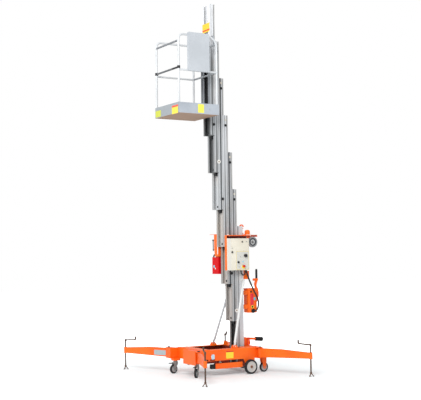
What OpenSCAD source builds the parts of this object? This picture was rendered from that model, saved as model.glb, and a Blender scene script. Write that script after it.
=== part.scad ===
// A push-around vertical mast lift: an orange steel base on six wheels with four swing-out
// outriggers, a seven-section aluminium mast and a one-person cage platform, partly raised.
// X is to the right seen from the front, the front (cage side) is -Y, Z is up, the floor is z = 0.

/* [Mast] */
// Outside width of one mast section
mast_w = 203; // [190:1:215]
// Distance from the front of one section to the front of the next
mast_pitch = 66; // [64:1:70]
// Length of one mast section
mast_len = 1870; // [1600:10:2000]
// Height that each section stands above the one behind it
mast_step = 526; // [300:1:700]
// Height of the foot of the mast above the floor
mast_foot = 190; // [180:1:205]
// Front face of the section that carries the platform
mast_front = -42; // [-60:1:-30]

/* [Platform] */
// Width of the cage
cage_w = 686; // [620:2:720]
// Length of the cage, front to rear
cage_l = 638; // [560:2:700]
// Height of the top rail above the underside of the floor
cage_h = 1100; // [1000:10:1150]
// Height of the toe boards above the underside of the floor
toe_h = 147; // [110:1:170]
// Diameter of the cage tubes
tube_d = 30; // [25:1:34]

/* [Base] */
// Width of the base between its side sheets
base_w = 680; // [660:2:690]
// Front face of the base
base_front = -505; // [-560:5:-495]
// Rear face of the base
base_rear = 600; // [590:5:640]
// Underside of the base
base_z0 = 210; // [205:1:215]
// Top of the base
base_z1 = 360; // [355:1:375]
// Thickness of the folded sheet
sheet = 5; // [4:0.5:6]

/* [Outriggers] */
// Length of an arm from its pivot to its screw jack
arm_len = 800; // [700:5:810]
// Thickness of an arm seen from above
arm_t = 44; // [38:1:46]
// Angle of the front arms to the side of the base when swung out
front_spread = 24; // [15:1:40]
// Angle of the rear arms to the side of the base when swung out
rear_spread = 25.5; // [15:0.5:40]
// Diameter of the jack screws
screw_d = 20; // [16:1:22]
// Reach of the crank of a screw jack
crank_r = 190; // [150:5:200]

/* [Wheels] */
// Diameter of the swivel casters at the front
caster_d = 125; // [110:1:130]
// Diameter of the large fixed wheels
drive_d = 200; // [180:2:210]
// Diameter of the small rear wheels
tail_d = 135; // [120:1:140]
// Diameter of the loading wheels behind the mast
load_d = 152; // [130:2:170]

/* [Hidden] */
$fn = 48;

origin_y = 47;   // the origin lies under the middle of the four screw jacks
orange = [0.94, 0.36, 0.09];
zinc = [0.72, 0.72, 0.70];
alu = [0.66, 0.66, 0.65];
black = [0.08, 0.08, 0.08];
cream = [0.90, 0.88, 0.82];
hw = base_w / 2;
mast_top = mast_foot + mast_len;

// A box between two limits along each axis
module block(x, y, z) {
    translate([x[0], y[0], z[0]]) cube([x[1] - x[0], y[1] - y[0], z[1] - z[0]]);
}
// The same box on the left and on the right
module twins(x, y, z) {
    for (s = [0, 1]) mirror([s, 0, 0]) block(x, y, z);
}
// A round bar from p to q
module bar(p, q, d) {
    v = q - p;
    translate(p) rotate([0, acos(v[2] / norm(v)), atan2(v[1], v[0])]) cylinder(h = norm(v), d = d);
}
// A plate cut from its outline in the YZ plane, from x = a to x = b
module plate_x(a, b) {
    translate([a, 0, 0]) rotate([90, 0, 90]) linear_extrude(b - a) children();
}
// A profile in the XZ plane, drawn out from y = a to y = b
module profile_y(a, b) {
    translate([0, b, 0]) rotate([90, 0, 0]) linear_extrude(b - a) children();
}
// Outline of a rectangle with round corners
module round_rect(x, y, r) {
    for (a = [x[0] + r, x[1] - r], b = [y[0] + r, y[1] - r]) translate([a, b]) circle(r = r);
    translate([x[0] + r, y[0]]) square([x[1] - x[0] - 2 * r, y[1] - y[0]]);
    translate([x[0], y[0] + r]) square([x[1] - x[0], y[1] - y[0] - 2 * r]);
}
// A quarter or more of a ring of round bar in the YZ plane, about c = [y, z], from angle a over sweep w
module bend_x(x, c, r, a, w, d) {
    translate([x, c[0], c[1]]) rotate([90, 0, 90]) rotate(a) rotate_extrude(angle = w)
        translate([r, 0]) circle(d = d);
}
// A disc or pin along X, from x = a to x = b
module pin_x(a, b, y, z, d) {
    translate([a, y, z]) rotate([0, 90, 0]) cylinder(h = b - a, d = d);
}

// Mast. Section 1 stands on the base and section 7 carries the platform.
sections = 7;
gap = 6;               // between the faces of two sections
lip = 6;
wall = 6;
mouth = 120;           // opening of the front channel
box_d = mast_pitch - gap;
cham = 24;             // depth of the front channel
head_gap = 4;
neck_w = 96;
head_w = mast_w - 2 * wall - 2 * 6;
head_d = cham - 2 * head_gap;
cell_w = mast_w / 2 - wall - 5;
cell_x = cell_w / 2 + 3;
pad_gap = 0.8;
rib_h = 4.5;
foot_sink = 80;        // section 1 reaches this far below the feet of the others
mast_rear = mast_front + (sections - 1) * mast_pitch + box_d + 52;
function front_y(i) = mast_front + (sections - i) * mast_pitch;
function foot_z(i) = mast_foot + (i - 1) * mast_step;

// Plan of a section, its front face at y = 0
module mast_plan(first) {
    hw = mast_w / 2;
    back = first ? box_d + 52 : box_d;
    difference() {
        union() {
            translate([-hw, 0]) square([mast_w, back]);
            if (!first) {
                translate([-neck_w / 2, box_d - 1]) square([neck_w, gap + lip + head_gap + 2]);
                translate([-head_w / 2, mast_pitch + lip + head_gap]) square([head_w, head_d]);
            }
        }
        translate([-mouth / 2, -1]) square([mouth, lip + 2]);
        translate([-hw + wall, lip]) square([mast_w - 2 * wall, cham]);
        for (s = [-1, 1]) {
            translate([s * cell_x - cell_w / 2, lip + cham + 4])
                square([cell_w, back - lip - cham - 8]);
            // recess between the two ribs of the side, and a groove in each rib
            translate([s * hw - rib_h, 16]) square([2 * rib_h, box_d - 32]);
            for (y = [7, box_d - 9]) translate([s * hw - 1.5, y]) square([3, 2]);
        }
        if (!first) for (s = [-1, 1]) {
            translate([s * 44 - 38, mast_pitch + lip + head_gap + 3]) square([76, head_d - 6]);
            translate([s * 23 - 20, box_d + 1]) square([40, gap + lip + head_gap - 1]);
        }
    }
}
module mast_section(i) {
    sink = i == 1 ? foot_sink : 0;
    color(alu) translate([0, front_y(i), foot_z(i) - sink])
        linear_extrude(mast_len + sink) mast_plan(i == 1);
}
// Black guides of section i: pads on its head at foot and top of the overlap, and the foot block
module guides(i) {
    pad_h = 120;
    color(black) translate([0, front_y(i), foot_z(i)]) {
        for (z = [6, 300]) for (s = [-1, 1]) {
            y0 = mast_pitch + lip + pad_gap;
            mirror([s < 0 ? 1 : 0, 0, 0]) block([head_w / 2, mast_w / 2 - wall - pad_gap],
                [y0, y0 + cham - 2 * pad_gap], [z, z + pad_h]);
        }
        // T block under the foot, held by a bolt through the front channel
        block([-46, 46], [mast_pitch + lip + 1, mast_pitch + lip + cham - head_gap], [-46, 0]);
        block([-20, 20], [mast_pitch - gap + 2, mast_pitch + lip + 2], [-46, 0]);
        translate([0, lip + cham - 2.5, 40]) rotate([-90, 0, 0]) cylinder(h = 2.5, d = 34);
    }
    // white side guides on every second section, riding past the section behind
    if (i % 2 == 0) color("white") {
        pin_x(mast_w / 2, mast_w / 2 + 2, front_y(i) + box_d - 12, foot_z(i) + 150, 18);
        pin_x(mast_w / 2 + pad_gap, mast_w / 2 + 7, front_y(i) + box_d, foot_z(i) + 150, 54);
    }
}

// Base frame: a pan folded from sheet, open below, with cross members and lower side rails
corner_pivots = [
    // [name, x, y, swung-out angle]
    ["front", hw + 85, base_front + 40, -front_spread],
    ["rear", hw + 48, base_rear - 55, rear_spread]];
pin_d = 25;
plate_top = [350, 358];
plate_low = [212, 220];
arm_z = [223, 347];
plate_r = 42;
fold_r = 14;
well = [[-hw + 90, hw - 90], [-230, 345]];
rail_z = [98, 172];
seat_z = mast_foot - foot_sink;
seat_rear = mast_rear + 20;

module pan_section(inset) {
    w = hw - inset;
    top = base_z1 - inset;
    r = fold_r - inset;
    for (s = [-1, 1]) translate([s * (w - r), top - r]) circle(r = r);
    translate([-w + r, top - 2 * r]) square([2 * (w - r), 2 * r]);
    translate([-w, base_z0 - 1]) square([2 * w, top - r - base_z0 + 1]);
}
// Lower side rail: a channel lying on its back, open above
module rail_section() {
    x = [hw - 50, hw];
    difference() {
        translate([x[0], rail_z[0]]) square([x[1] - x[0], rail_z[1] - rail_z[0]]);
        translate([x[0] + 6, rail_z[0] + 6]) square([x[1] - x[0] - 12, rail_z[1]]);
    }
}
module base_frame() {
    color(orange) {
        difference() {
            profile_y(base_front, base_rear) pan_section(0);
            profile_y(base_front - 1, base_rear + 1) pan_section(sheet);
            block([-hw - 1, hw + 1], [base_front - 1, base_rear + 1], [base_z0 - 2, base_z0]);
            // the well over the batteries, and the opening for the mast
            translate([0, 0, base_z1 - sheet - 1]) linear_extrude(sheet + 2) {
                round_rect(well[0], well[1], 20);
                translate([-150, 330]) square([300, 150]);
            }
            // front recess between the two corner boxes
            block([-hw + 30, 100], [base_front - 1, base_front + 125], [base_z0 - 1, base_z1 + 1]);
            // slots in the side sheets
            for (s = [0, 1]) mirror([s, 0, 0]) {
                plate_x(hw - sheet - 1, hw + 1) round_rect([-216, -178], [248, 298], 10);
                plate_x(hw - sheet - 1, hw + 1) for (y = [-345, -240]) round_rect([y, y + 84], [base_z0 - 12, 234], 8);
            }
        }
        // end walls, flanges and cross members
        block([-hw + 30, 100], [base_front + 125, base_front + 130], [base_z0, base_z1 - 2]);
        block([-hw + 2, hw - 2], [base_rear - sheet, base_rear], [base_z0, base_z1 - fold_r]);
        twins([hw - 40, hw - 1], [base_front + 4, base_rear - 2], [base_z0, base_z0 + sheet]);
        block([-hw + 2, hw - 2], [-250, -244], [base_z0, base_z1 - 2]);
        // battery ledges at both sides, clear of the lowered mast
        for (y = [60, 200]) twins([hw - 110, hw - 2], [y, y + 40], [base_z0, base_z0 + 6]);
        block([-hw + 2, hw - 2], [seat_rear - 6, seat_rear], [seat_z - 8, base_z1 - 2]);
        block([-hw + 2, hw - 2], [345, seat_rear], [seat_z - 8, seat_z]);
        twins([115, hw - 2], [345, 351], [seat_z - 8, base_z1 - 2]);
        twins([mast_w / 2, mast_w / 2 + 6], [front_y(1) + 30, seat_rear - 4], [seat_z - 1, base_z1 - 8]);
        // inner wall and front wall of the left corner box, and the deeper front plate on the right
        block([-hw + 30, -hw + 35], [base_front, base_front + 126], [base_z0, base_z1 - 2]);
        block([-hw - 90, -hw + 31], [base_front, base_front + sheet], [base_z0 + 4, base_z1 - 2]);
        block([hw - 10, hw + 90], [base_front, base_front + sheet], [base_z0 + 4, base_z1 - 2]);
        block([100, 105], [base_front - 15, base_front + 130], [base_z0 - 30, base_z1]);
        block([100, hw + 96], [base_front - 18, base_front - 13], [base_z0 - 30, base_z1 + 12]);
        block([hw - 12, hw - 6], [base_front - 15, base_front + 2], [base_z0, base_z1]);
        for (s = [0, 1]) mirror([s, 0, 0]) {
            plate_x(hw - sheet, hw) polygon([[345, base_z0 + 2], [345, seat_z + 40], [380, seat_z - 8],
                [seat_rear, seat_z - 8], [seat_rear, base_z0 + 2]]);
            // lower rail with its hangers
            profile_y(-150, 285) rail_section();
            for (y = [-140, 60, 268]) plate_x(hw - 46, hw - sheet) 
                polygon([[y, rail_z[0] + 3], [y + 10, rail_z[0] + 3], [y + 10, base_z0 + 4], [y, base_z0 + 4]]);
            // axle plate and stub of the large wheel
            plate_x(hw - 12, hw) hull_plate(390, drive_d / 2, 34, 300, 480, base_z0 + 2);
            pin_x(hw - 10, hw + 74, 390, drive_d / 2, 20);
            pin_x(hw - 2, hw + 22, 390, drive_d / 2, 40);
            pin_x(hw + 72.4, hw + 78, 390, drive_d / 2, 30);
            // seat of the swivel caster
            difference() {
                translate([0, 0, 182]) linear_extrude(base_z0 + 2 - 182)
                    round_rect([swivel[0] - 50, hw - 2], [swivel[1] - 56, swivel[1] + 56], 14);
                translate([swivel[0], swivel[1], 180]) cylinder(h = 40, d = 21);
            }
        }
        // front deck, strut feet and the stop bracket in front of the mast
        block([-hw + 30, hw - 8], [base_front + 122, -232], [base_z1 - 2, base_z1 + 5]);
        for (s = [0, 1]) mirror([s, 0, 0]) difference() {
            plate_x(brace_low[0] - 30, brace_low[0] + 30) polygon([[150, base_z1 - 1], [226, base_z1 - 1],
                [226, base_z1 + 12], [206, base_z1 + 42], [170, base_z1 + 42], [150, base_z1 + 12]]);
            block([brace_low[0] - 21, brace_low[0] + 21], [149, 227], [base_z1 + 6, base_z1 + 43]);
            pin_x(brace_low[0] - 40, brace_low[0] + 40, brace_low[1], brace_low[2], 13);
        }
        plate_x(-190, -184) polygon([[300, base_z1 - 1], [370, base_z1 - 1], [370, base_z1 + 30],
            [345, base_z1 + 55], [325, base_z1 + 55], [300, base_z1 + 30]]);
    }
    // bent rod of the service stop
    color([0.16, 0.13, 0.12]) {
        bar([-187, 335, base_z1 + 30], [-187, 335, base_z1 + 150], 10);
        bend_x(-187, [355, base_z1 + 150], 20, 90, 90, 10);
        bar([-187, 355, base_z1 + 170], [-187, 392, base_z1 + 170], 10);
    }
    // clevis plates and pins of the four outriggers
    for (p = corner_pivots) for (s = [0, 1]) mirror([s, 0, 0]) {
        color(orange) for (z = [plate_top, plate_low]) translate([0, 0, z[0]]) linear_extrude(z[1] - z[0]) {
            polygon([[hw - 20, p[2] - plate_r], [p[1], p[2] - plate_r], [p[1], p[2] + plate_r],
                [hw - 2, p[2] + plate_r + 24], [hw - 20, p[2] + plate_r + 24]]);
            translate([p[1], p[2]]) circle(r = plate_r);
        }
        color(zinc) translate([p[1], p[2], 206]) cylinder(h = 158, d = pin_d);
        color(black) translate([p[1], p[2], 357]) cylinder(h = 14, d = 36);
    }
}
// A plate outline that narrows from a straight top edge to a round boss
module hull_plate(y, z, r, y0, y1, top) {
    translate([y, z]) circle(r = r);
    polygon([[y - r, z], [y + r, z], [y1, top], [y0, top]]);
}

// Outrigger arm in its own frame: pivot at the origin, arm along +X. A tapered channel, open below
arm_wall = 5;
module arm_side(inset) {
    polygon([[0, arm_z[0] - inset], [arm_len, 240 - inset], [arm_len, 320 - inset],
        [arm_len * 0.42, arm_z[1] - inset], [0, arm_z[1] - inset]]);
}
module arm_shape() {
    difference() {
        union() {
            difference() {
                profile_y(-arm_t / 2, arm_t / 2) arm_side(0);
                intersection() {
                    profile_y(-arm_t / 2 + arm_wall, arm_t / 2 - arm_wall) arm_side(arm_wall);
                    block([60, arm_len - 40], [-arm_t, arm_t], [200, 360]);
                }
            }
            translate([0, 0, arm_z[0]]) cylinder(h = arm_z[1] - arm_z[0], r = 30);
            translate([arm_len, 0, 236]) cylinder(h = 88, r = 24);
        }
        translate([0, 0, arm_z[0] - 1]) cylinder(h = 200, d = pin_d + 1);
        translate([arm_len, 0, 200]) cylinder(h = 200, d = screw_d + 1);
    }
}
// Screw jack in the same frame: screw, crank laid back along the arm, and claw foot
module jack_shape() {
    foot_r = 34;
    crank_z = 426;
    translate([arm_len, 0, 0]) color([0.45, 0.33, 0.24]) {
        translate([0, 0, 40]) cylinder(h = crank_z - 40, d = screw_d);
        translate([0, 0, crank_z - 20]) cylinder(h = 32, d = 28);
        // crank and its grip
        bar([0, 0, crank_z], [-crank_r, 0, crank_z + 10], 12);
        bar([-crank_r, 0, crank_z + 5], [-crank_r, 0, crank_z + 40], 14);
        translate([-crank_r, 0, crank_z + 34]) cylinder(h = 24, d = 18);
        translate([0, 0, 36]) cylinder(h = 22, d = 30);
        for (a = [30, 150, 270]) rotate(a) {
            bar([4, 0, 44], [foot_r, 0, 7], 12);
            translate([foot_r, 0, 0]) cylinder(h = 9, d = 16);
        }
    }
}
module at_corner(p, left) {
    mirror([left ? 1 : 0, 0, 0]) translate([p[1], p[2], 0]) rotate(p[3]) children();
}

// Wheels
module tyre_wheel(d, w, hub, bore) {
    r = d / 2;
    h = w / 2;
    // tyre with sloped shoulders and a shallow groove in the tread
    color(black) rotate([0, 90, 0]) rotate_extrude($fn = 64) polygon([[hub / 2, -h + 3], [r - 9, -h],
        [r - 3, -h + 3], [r, -h + 9], [r, -3], [r - 2, -1.5], [r - 2, 1.5], [r, 3], [r, h - 9],
        [r - 3, h - 3], [r - 9, h], [hub / 2, h - 3]]);
    // pressed wheel disc: flange, dished web and hub
    color("white") rotate([0, 90, 0]) difference() {
        rotate_extrude($fn = 64) polygon([[0, -h - 1], [bore / 2 + 9, -h - 1], [bore / 2 + 12, -h + 8],
            [hub / 2 - 10, -h + 10], [hub / 2 - 5, -h + 3], [hub / 2 + 0.01, -h + 3],
            [hub / 2 + 0.01, h - 3], [hub / 2 - 5, h - 3], [hub / 2 - 10, h - 10],
            [bore / 2 + 12, h - 8], [bore / 2 + 9, h + 1], [0, h + 1]]);
        translate([0, 0, -w]) cylinder(h = 2 * w, d = bore);
    }
}
swivel = [hw - 35, base_front + 81];
trail = 34;
caster_yaw = [12, 42];  // parked angles of the left and the right caster
module at_caster(left) {
    k = left ? 0 : 1;
    translate([left ? -swivel[0] : swivel[0], swivel[1], 0]) rotate(caster_yaw[k]) children();
}
module caster_fork() {
    axle_z = caster_d / 2;
    color(zinc) {
        rotate_extrude() polygon([[0, 154], [31, 154], [31, 166], [27, 172], [27, 181.5], [10, 181.5],
            [10, 204], [0, 204]]);
        // crown and legs of the yoke, pressed from one sheet
        translate([0, 0, 140]) linear_extrude(18) round_rect([-24, 24], [-46, 30], 8);
        for (x = [-24, 20]) plate_x(x, x + 4) {
            translate([-trail, axle_z]) circle(r = 15);
            polygon([[-trail - 15, axle_z], [-trail + 15, axle_z], [26, 132], [26, 150], [-42, 150],
                [-44, 128]]);
        }
        pin_x(-30, 30, -trail, axle_z, 12);
    }
    // brake pedal
    color(black) {
        block([-16, 16], [-78, -40], [142, 150]);
        translate([0, 0, 142]) linear_extrude(7) round_rect([-24, 24], [-112, -66], 12);
    }
}
tail_at = [hw - 63, base_rear + 78];
module tail_forks() {
    low = tail_d / 2;
    y = tail_at[1];
    color(orange) for (s = [0, 1]) mirror([s, 0, 0]) translate([tail_at[0], 0, 0]) {
        for (x = [-28, 22]) plate_x(x, x + 6) {
            translate([y, low]) circle(r = 22);
            polygon([[y - 22, low], [y + 22, low], [y + 30, 150], [y + 30, 208], [y - 44, 208], [y - 44, 168]]);
        }
        translate([0, 0, 200]) linear_extrude(base_z0 - 200) round_rect([-50, 50], [y - 118, y + 42], 10);
        plate_x(-50, -44) polygon([[base_rear, 205], [y + 20, 205], [base_rear, 300]]);
    }
    color(zinc) for (s = [0, 1]) mirror([s, 0, 0])
        pin_x(tail_at[0] - 34, tail_at[0] + 34, y, low, 16);
}

// Braces from the base up to the sides of the foot section, their ends flattened to lugs
brace_low = [hw - 53, 188, base_z1 + 24];
brace_top = [156, 438, mast_top - 766];
brace_d = 34;
module braces() {
    v = brace_top - brace_low;
    for (s = [0, 1]) mirror([s, 0, 0]) {
        color("white") {
            bar(brace_low + 0.055 * v, brace_top - 0.03 * v, brace_d);
            for (e = [[brace_low, 1], [brace_top, -1]]) plate_x(e[0][0] - 5, e[0][0] + 5) {
                translate([e[0][1], e[0][2]]) circle(r = 14);
                polygon([[e[0][1] - 14, e[0][2]], [e[0][1] + 14, e[0][2]],
                    [e[0][1] + 14 + e[1] * 0.08 * v[1], e[0][2] + e[1] * 0.08 * v[2]],
                    [e[0][1] - 14 + e[1] * 0.08 * v[1], e[0][2] + e[1] * 0.08 * v[2]]]);
            }
        }
        color(zinc) {
            pin_x(brace_low[0] - 34, brace_low[0] + 34, brace_low[1], brace_low[2], 12);
            pin_x(mast_w / 2, brace_top[0] + 14, brace_top[1], brace_top[2], 14);
            pin_x(mast_w / 2, mast_w / 2 + 12, brace_top[1], brace_top[2], 44);
        }
    }
}
// Orange frame round the rear of the mast that carries the boxes, hung from the top of the mast
box_x = [118, 200];
box_y = [165, 513];
box_z = [mast_top - 625, mast_top - 175];
load_at = [630, mast_top - 227];
module linear_extrude_at(z, h) {
    translate([0, 0, z]) linear_extrude(h) children();
}
module strap_plan() {
    y1 = mast_rear;
    difference() {
        translate([-118, front_y(1) + 31]) square([236, y1 + 8 - front_y(1) - 31]);
        translate([-mast_w / 2, front_y(1) + 30]) square([mast_w, y1 - front_y(1) - 30]);
    }
}
module mast_yoke() {
    y1 = mast_rear;
    shelf = mast_top - 128;
    color(orange) {
        for (z = [-410, -260]) translate([0, 0, mast_top + z]) linear_extrude(60) strap_plan();
        // folded plate behind the control box and its hood
        profile_y(159, box_y[1] + 6) polygon([[114, box_z[0]], [118, box_z[0]], [118, mast_top - 134],
            [222, mast_top - 134], [228, mast_top - 150], [232, mast_top - 149], [225, mast_top - 130],
            [114, mast_top - 130]]);
        block([117, 160], [159, 163], [box_z[0], mast_top - 132]);
        // bracket on the far side
        plate_x(-118, -114) polygon([[185, mast_top - 430], [470, mast_top - 430], [470, mast_top - 200],
            [400, mast_top - 130], [185, mast_top - 130]]);
        profile_y(190, 196) difference() {
            polygon([[-116, mast_top - 430], [-116, mast_top - 110], [-235, mast_top - 110],
                [-235, mast_top - 300], [-215, mast_top - 430]]);
            round_rect([-158, -124], [mast_top - 400, mast_top - 140], 10);
        }
        linear_extrude_at(mast_top - 114, 4) polygon([[-107, 185], [-107, 470], [-235, 470], [-350, 300],
            [-350, 185]]);
        // shelf behind the mast with a folded rear edge
        plate_x(-110, 118) polygon([[y1, shelf], [700, shelf], [704, shelf - 24], [709, shelf - 24],
            [705, shelf + 8], [y1, shelf + 8]]);
        // brackets of the loading wheels
        for (s = [0, 1]) mirror([s, 0, 0]) {
            plate_x(70, 76) {
                translate([load_at[0], load_at[1]]) circle(r = 24);
                polygon([[y1, shelf], [y1, shelf - 150], [load_at[0] - 6, load_at[1] - 23],
                    [load_at[0] + 24, load_at[1]], [load_at[0] + 40, shelf]]);
            }
            pin_x(74, 128, load_at[0], load_at[1], 16);
        }
        // brackets of the power unit
        for (z = [mast_top - 980, mast_top - 1180]) twins([54, 60], [y1, unit_y[0]], [z, z + 60]);
        for (z = [mast_top - 980, mast_top - 1180]) block([-60, 60], [y1, y1 + 6], [z, z + 60]);
        // hook at the top, bent from flat bar
        plate_x(-7, 7) difference() {
            union() {
                translate([512, mast_top - 8]) circle(r = 36);
                translate([476, shelf + 4]) square([30, 120]);
                translate([470, shelf + 4]) square([70, 30]);
            }
            translate([516, mast_top - 8]) circle(r = 20);
            translate([518, mast_top - 26]) square([40, 18]);
        }
        // bracket below the control box
        block([100, 118], [470, 556], [box_z[0] - 130, box_z[0] - 14]);
        block([100, 118], [470, 516], [box_z[0] - 20, box_z[0] + 60]);
    }
    // release lever on the far side
    color(black) {
        pin_x(-268, -205, 193, mast_top - 330, 14);
        bar([-262, 193, mast_top - 350], [-266, 193, mast_top - 200], 12);
        translate([-266, 193, mast_top - 196]) sphere(d = 26);
    }
}
module box_plan(inset) {
    polygon([[box_x[0] - 1 - inset, box_y[0] + inset], [box_x[1] - 22, box_y[0] + inset],
        [box_x[1] - inset, box_y[0] + 46], [box_x[1] - inset, box_y[1] - 10],
        [box_x[1] - 8 - inset, box_y[1] - inset], [box_x[0] - 1 - inset, box_y[1] - inset]]);
}
module control_box() {
    color(cream) {
        difference() {
            translate([0, 0, box_z[0]]) linear_extrude(box_z[1] - box_z[0]) box_plan(0);
            translate([0, 0, box_z[0] + 3]) linear_extrude(box_z[1] - box_z[0] - 6) box_plan(3);
            block([0, box_x[0]], [0, 600], [box_z[0] - 1, box_z[1] + 1]);
            // seam of the door
            block([box_x[1] - 2, box_x[1] + 1], [box_y[0] + 58, box_y[0] + 60], [box_z[0] + 12, box_z[1] - 12]);
        }
        plate_x(box_x[1] - 1, box_x[1] + 3) round_rect(panel_y, [box_z[0] + 8, box_z[0] + 267], 8);
    }
}
panel_y = [290, 503];
// Knobs, lamp and stop button on the face of the control box
knobs = [
    // [y, height above the box, diameter, length, colour]
    [442, 205, 46, 24, black], [323, 113, 28, 18, black], [399, 120, 16, 8, "deepskyblue"],
    [407, 47, 50, 10, "yellow"], [407, 57, 34, 30, "red"], [225, 255, 26, 12, black],
    [225, 310, 12, 6, zinc], [448, 47, 12, 6, zinc], [335, 47, 12, 6, zinc], [360, 190, 12, 6, zinc],
    [394, 400, 20, 10, black], [466, 404, 14, 10, zinc]];
module control_knobs() {
    for (k = knobs) color(k[4]) {
        face = box_x[1] + (k[1] < 267 && k[0] > panel_y[0] ? 3 : 0);
        pin_x(face, face + k[3], k[0], box_z[0] + k[1], k[2]);
    }
}
module charger_box() {
    x = [-300, -122];
    z = [box_z[0] - 55, box_z[0] + 185];
    color("red") difference() {
        translate([0, 0, z[0]]) linear_extrude(z[1] - z[0]) round_rect(x, [190, 460], 14);
        translate([0, 0, z[0] - 1]) linear_extrude(z[1] - z[0] - 3) round_rect([x[0] + 4, x[1] - 4], [194, 456], 10);
        // cooling slots
        for (y = [250 : 30 : 400]) block([x[0] - 1, x[0] + 6], [y, y + 14], [z[0] + 60, z[1] - 60]);
    }
    color(orange) block([-123, -mast_w / 2], [380, 450], [z[0] + 20, z[1] - 20]);
    color([0.25, 0.25, 0.26]) {
        translate([-250, 215, z[1] - 2]) rotate([90, 0, 0])
            rotate_extrude(angle = 180) translate([40, 0]) circle(d = 20);
        block([-200, -130], [200, 240], [z[1] - 1, z[1] + 16]);
    }
}
// Power unit: a rounded cover over the motor, and the bent carrying arm behind it
unit_x = [-70, 75];
unit_y = [565, 725];
unit_z = [mast_top - 1240, mast_top - 890];
arm_line = [
    // [y, height below the top of the mast] along the middle of the bent arm
    [731, -1096], [754, -1060], [772, -1000], [772, -950], [760, -905], [742, -870], [736, -840], [742, -815],
    [752, -790], [750, -768]];
module power_unit() {
    color(orange) {
        difference() {
            translate([0, 0, unit_z[0]]) linear_extrude(unit_z[1] - unit_z[0]) round_rect(unit_x, unit_y, 34);
            translate([0, 0, unit_z[0] - 1]) linear_extrude(unit_z[1] - unit_z[0] - 3)
                round_rect([unit_x[0] + 4, unit_x[1] - 4], [unit_y[0] + 4, unit_y[1] - 4], 30);
        }
        // arm cut from plate, and its cross head
        n = len(arm_line) - 1;
        w = 15;
        side = [for (i = [0 : n]) let (t = arm_line[min(i + 1, n)] - arm_line[max(i - 1, 0)],
            u = t / norm(t)) w * [u[1], -u[0]]];
        translate([0, 0, mast_top]) plate_x(-13, 13) {
            polygon(concat([for (i = [0 : n]) arm_line[i] + side[i]],
                [for (i = [n : -1 : 0]) arm_line[i] - side[i]]));
            translate([unit_y[1] - 3, -1130]) square([20, 50]);
            round_rect([698, 776], [-786, -752], 12);
        }
    }
    // side panel, filler ring and the end of the motor
    face = unit_x[1];
    color([0.80, 0.10, 0.10]) plate_x(face - 1, face + 2)
        round_rect([600, 652], [unit_z[0] + 92, unit_z[1] - 74], 10);
    color([0.10, 0.09, 0.09]) {
        pin_x(-50, face + 4, 645, unit_z[0] + 28, 64);
        pin_x(face - 1, face + 6, 612, unit_z[1] - 48, 26);
        translate([0, 757, mast_top - 754]) cylinder(h = 124, d = 32);
        translate([0, 757, mast_top - 630]) cylinder(h = 13, d = 26);
    }
    color("yellow") translate([0, 632, unit_z[0] + 86]) rotate([0, 90, 0]) difference() {
        translate([0, 0, face - 1]) cylinder(h = 6, d = 46);
        translate([0, 0, face - 2]) cylinder(h = 8, d = 30);
    }
}
module load_wheel() {
    r = load_d / 2;
    color(zinc) rotate([0, 90, 0]) difference() {
        rotate_extrude($fn = 64) polygon([[0, -18], [18, -18], [20, -9], [r - 26, -9], [r - 22, -15], [r - 14, -15],
            [r - 10, -18], [r - 4, -18], [r, -13], [r, 13], [r - 4, 18], [r - 10, 18], [r - 14, 15], [r - 22, 15],
            [r - 26, 9], [20, 9], [18, 18], [0, 18]]);
        cylinder(h = 40, d = 17, center = true);
    }
}
module tow_handle() {
    z = base_z1;
    color(orange) {
        difference() {
            plate_x(-22, 22) polygon([[mast_rear, z + 5], [612, z], [612, z + 52], [596, z + 92], [560, z + 112],
                [500, z + 116], [mast_rear, z + 100]]);
            plate_x(-16, 16) polygon([[mast_rear + 6, z - 1], [606, z - 1], [606, z + 46], [590, z + 88],
                [558, z + 106], [500, z + 110], [mast_rear + 6, z + 94]]);
        }
        bar([0, 590, 452], [0, 730, 440], 34);
    }
    color(black) bar([0, 722, 441], [0, 840, 430], 46);
    // release loop
    color("red") {
        for (y = [566, 610]) bar([30, y, z + 8], [30, y, z + 76], 10);
        bend_x(30, [588, z + 76], 22, 0, 180, 10);
        pin_x(20, 36, 566, z + 14, 14);
        pin_x(20, 36, 610, z + 14, 14);
    }
}
module beacon() {
    color(orange) translate([0, load_at[0] - 20, mast_top - 120]) rotate_extrude() polygon([[0, 0], [46, 0], [46, 8],
        [40, 10], [38, 46], [34, 58], [24, 67], [10, 70], [0, 70]]);
}

// Platform
floor_z = foot_z(sections) + 246;
cage_rear = mast_front - 9;
cage_front = cage_rear - cage_l;
cage_x = cage_w / 2;
flange = 28;
board = 2.5;          // sheet of the toe boards
deck_t = 12;
post_hole = 42;       // the posts stand in notches of the deck
module toe_section() {   // outline of one toe board: flange under the deck, wall and rolled top edge
    square([flange, board]);
    square([board, toe_h]);
    translate([0, toe_h - board]) square([11, board]);
}
module platform_floor() {
    color([0.55, 0.45, 0.36]) translate([0, 0, floor_z + board]) linear_extrude(deck_t) difference() {
        translate([-cage_x + board, cage_front + board]) square([cage_w - 2 * board, cage_l - 2 * board]);
        for (s = [-1, 1], y = [cage_front, cage_rear - post_hole])
            translate([s > 0 ? cage_x - post_hole : -cage_x, y]) square(post_hole);
    }
    color(alu) difference() {
        translate([0, 0, floor_z]) {
            for (s = [0, 1]) mirror([s, 0, 0]) translate([-cage_x, 0, 0])
                profile_y(cage_front, cage_rear) toe_section();
            translate([0, cage_front, 0]) plate_x(-cage_x + 1, cage_x - 1) toe_section();
            translate([0, cage_rear, 0]) mirror([0, 1, 0]) plate_x(-cage_x + 1, cage_x - 1) toe_section();
        }
        for (x = [-post_x, post_x], y = post_y) translate([x, y, floor_z + board])
            cylinder(h = toe_h, d = tube_d + 0.6);
    }
}
top_z = floor_z + cage_h - tube_d / 2;
mid_z = floor_z + 0.542 * cage_h;
rear_z = top_z - 90;
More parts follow.
